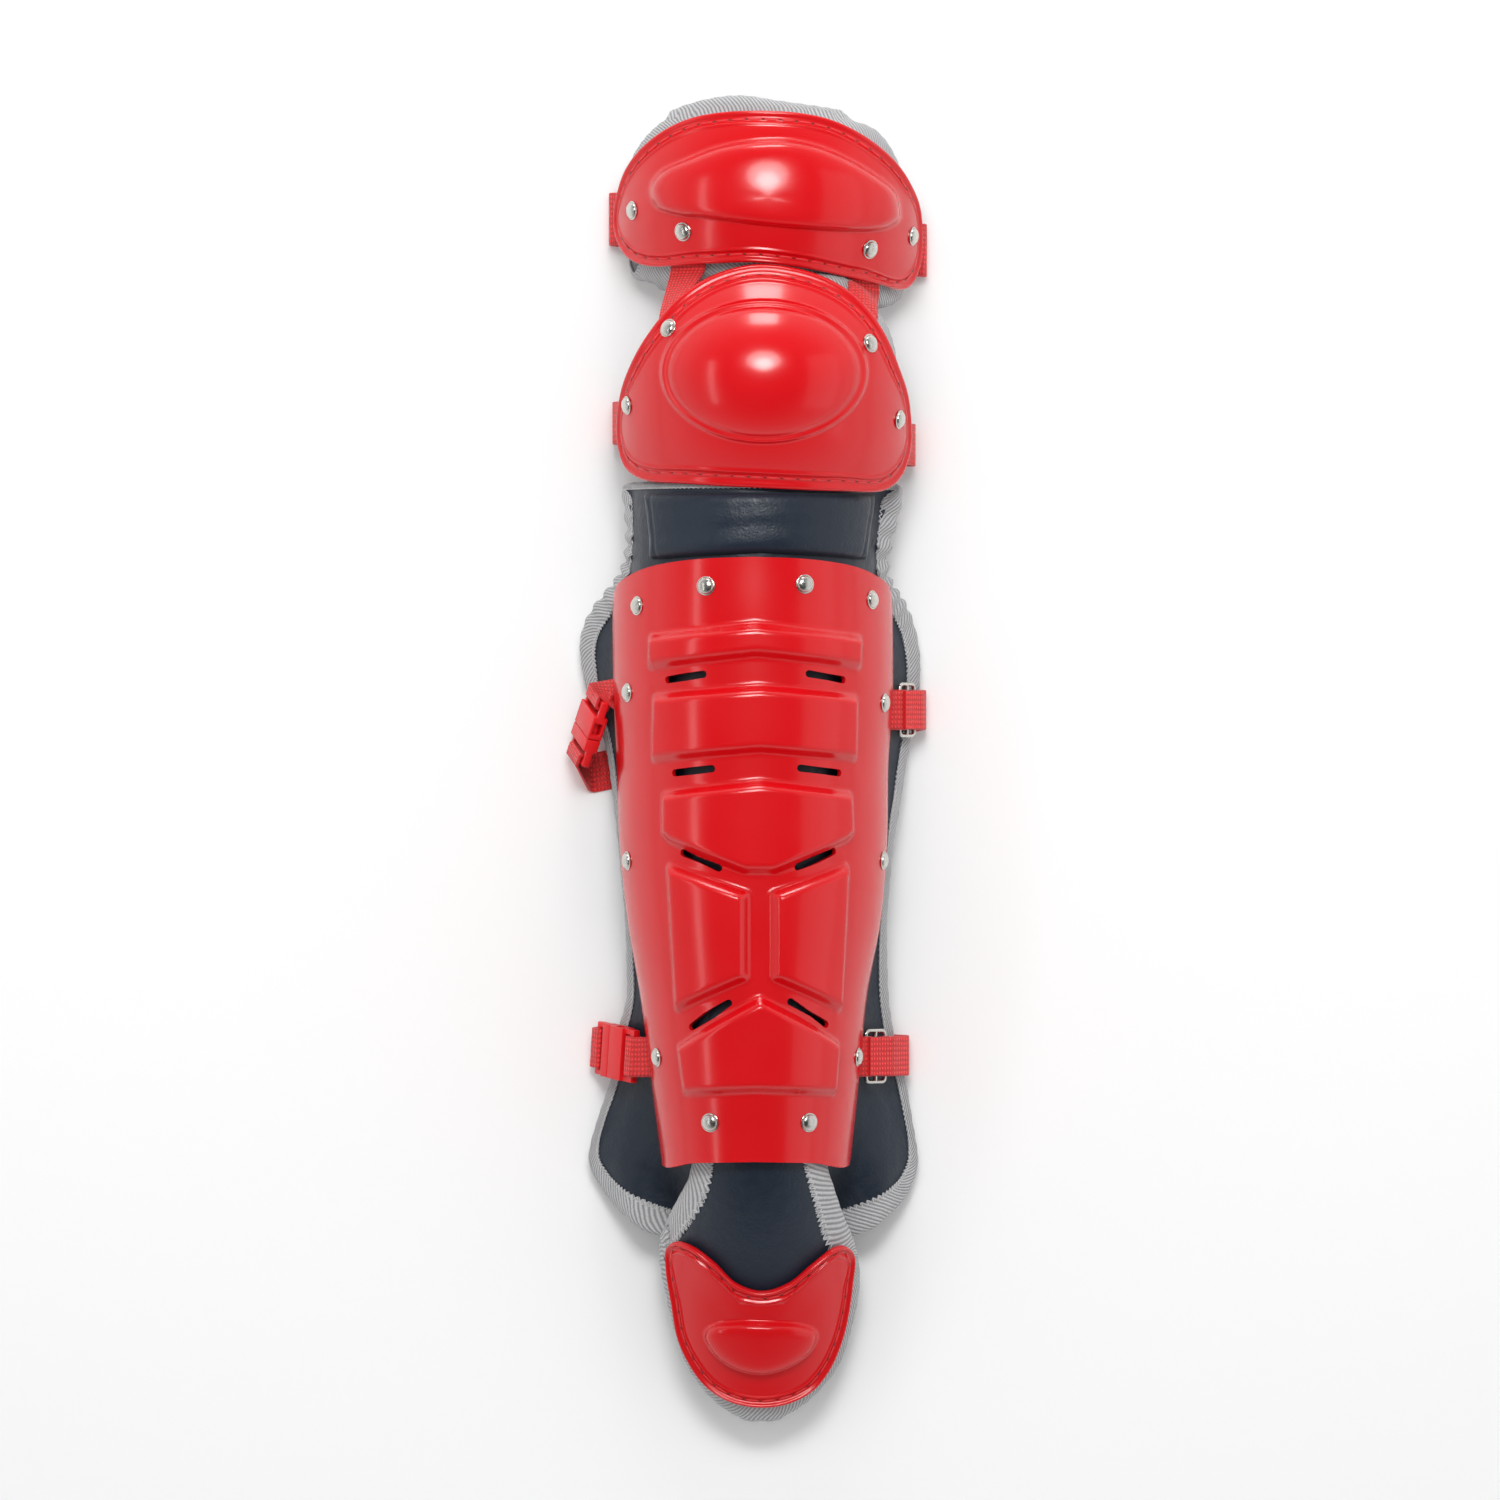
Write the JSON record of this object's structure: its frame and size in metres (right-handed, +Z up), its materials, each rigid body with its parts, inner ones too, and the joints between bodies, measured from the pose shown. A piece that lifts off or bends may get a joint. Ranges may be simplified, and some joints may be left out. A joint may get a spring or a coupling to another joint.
{
  "type": "catcher's leg guard",
  "caption": "Baseball catcher's leg guard with moulded thigh, knee, shin and toe shells over padding, and webbing straps with buckles and wire slides.",
  "frame": {"origin": "middle of the bounds on the floor that the guard lies on", "axes": "+Z up, out of the shells; +Y along the leg toward the thigh; +X to the right in the picture"},
  "size_m": [0.1706, 0.6212, 0.1108],
  "materials": {
    "red_plastic": "glossy moulded red",
    "red_webbing": "ribbed webbing",
    "navy_vinyl": "fine grained vinyl",
    "grey_mesh": "ribbed twill mesh",
    "nickel": "polished nickel"
  },
  "bodies": {
    "root": {"thigh_shell": "red_plastic", "knee_shell": "red_plastic", "toe_shell": "red_plastic", "shin_shell": "red_plastic", "thigh_rivet_1": "nickel", "thigh_rivet_2": "nickel", "thigh_rivet_3": "nickel", "thigh_rivet_4": "nickel", "knee_rivet_1": "nickel", "knee_rivet_2": "nickel", "knee_rivet_3": "nickel", "knee_rivet_4": "nickel", "shin_rivet_1": "nickel", "shin_rivet_2": "nickel", "shin_rivet_3": "nickel", "shin_rivet_4": "nickel", "shin_rivet_5": "nickel", "shin_rivet_6": "nickel", "shin_rivet_7": "nickel", "shin_rivet_8": "nickel", "shin_rivet_9": "nickel", "shin_rivet_10": "nickel", "shin_rivet_11": "nickel", "shin_rivet_12": "nickel", "thigh_pad": "grey_mesh", "thigh_facing": "navy_vinyl", "knee_pad": "grey_mesh", "main_pad": "grey_mesh", "main_facing": "navy_vinyl", "bridge_cushion": "navy_vinyl", "tongue_pad": "grey_mesh", "tongue_facing": "navy_vinyl", "thigh_strap": "red_webbing", "knee_strap": "red_webbing", "link_webbing_left": "red_webbing", "link_webbing_right": "red_webbing", "upper_tab_left": "red_webbing", "upper_tab_right": "red_webbing", "upper_calf_strap": "red_webbing", "upper_buckle_socket": "red_plastic", "upper_buckle_plug": "red_plastic", "upper_slide": "nickel", "lower_tab_left": "red_webbing", "lower_tab_right": "red_webbing", "lower_calf_strap": "red_webbing", "lower_buckle_socket": "red_plastic", "lower_buckle_plug": "red_plastic", "lower_slide": "nickel"}
  },
  "joints": []
}
